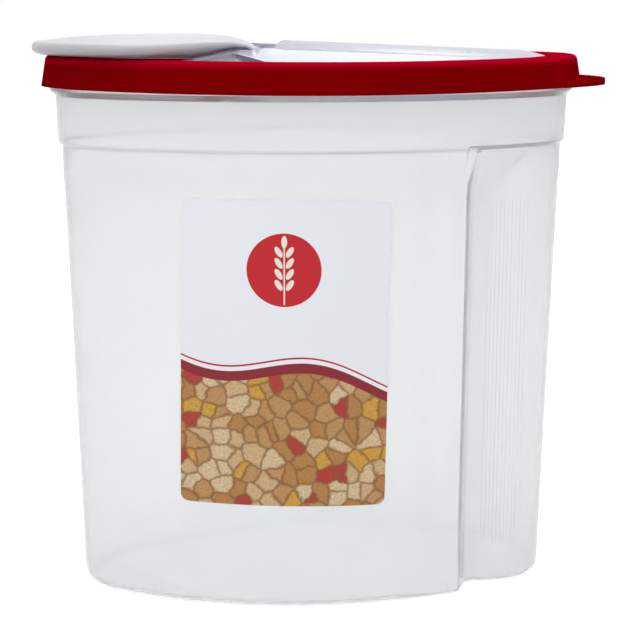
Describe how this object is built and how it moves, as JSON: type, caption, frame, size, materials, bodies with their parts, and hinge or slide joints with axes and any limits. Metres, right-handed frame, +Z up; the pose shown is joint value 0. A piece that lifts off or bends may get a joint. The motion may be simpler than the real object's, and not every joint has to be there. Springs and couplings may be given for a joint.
{
  "type": "cereal container",
  "caption": "Tall oval translucent food keeper with a side pinch grip and a press-on red ring lid that holds a clear domed window and a hinged flip-up pouring spout.",
  "frame": {"origin": "on the table plane, at the middle of the lid ring's length and width, centred under the container's base", "axes": "+Z up, -X towards the pouring spout, +X towards the pinch grip and the lift tab, +Y to the right-hand side seen from the grip"},
  "size_m": [0.2939, 0.152, 0.284],
  "materials": {
    "frosted_body": "translucent moulded polypropylene, smooth",
    "red_ring": "glossy moulded dark red",
    "clear_window": "clear bluish moulded plastic, polished",
    "white_spout": "milky white moulded plastic, satin",
    "label_paper": "printed paper sheet, semi-matt"
  },
  "bodies": {
    "container": {"container_body": "frosted_body", "front_label": "label_paper"},
    "lid": {"lid_frame": "red_ring", "lid_window": "clear_window"},
    "spout": {"flip_spout": "white_spout"}
  },
  "joints": [
    {"name": "lid_lift", "type": "slide", "parent": "container", "child": "lid", "axis": [0, 0, 1], "range_m": [0, 0.04]},
    {"name": "spout_hinge", "type": "hinge", "parent": "lid", "child": "spout", "pos_m": [-0.031, 0, 0.274], "axis": [0, 1, 0], "range_deg": [0, 105]}
  ]
}
